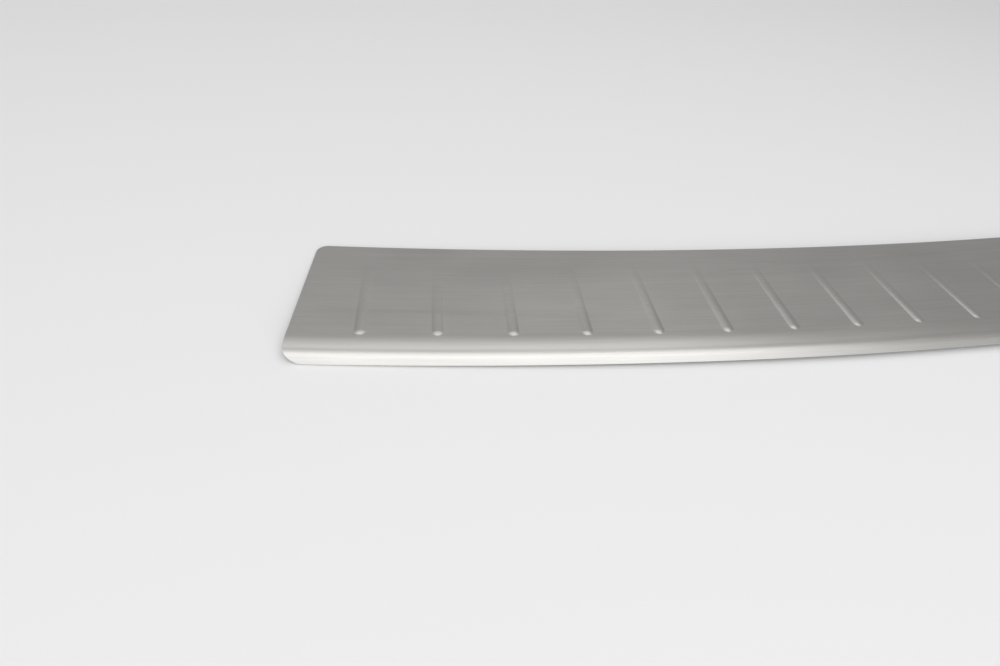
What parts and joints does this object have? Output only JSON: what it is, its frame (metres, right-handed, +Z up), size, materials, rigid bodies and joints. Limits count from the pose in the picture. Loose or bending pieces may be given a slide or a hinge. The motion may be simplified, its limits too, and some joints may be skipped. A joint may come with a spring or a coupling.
{
  "type": "rear bumper protector",
  "caption": "Bowed strip of brushed stainless sheet for the top of a rear bumper, with a folded front lip, round corners and a row of raised cross ribs that fade out towards the back",
  "frame": {"origin": "On the underside of the sheet, at the middle of its length and of its flat, where it lies on the top of the bumper", "axes": "As fitted: +Z is up, -Y is the outer side with the folded lip, +Y is towards the car, and X runs along the strip"},
  "size_m": [0.9906, 0.1299, 0.0077],
  "materials": {
    "stainless": "satin"
  },
  "bodies": {
    "root": {"protector_plate": "stainless"}
  },
  "joints": []
}
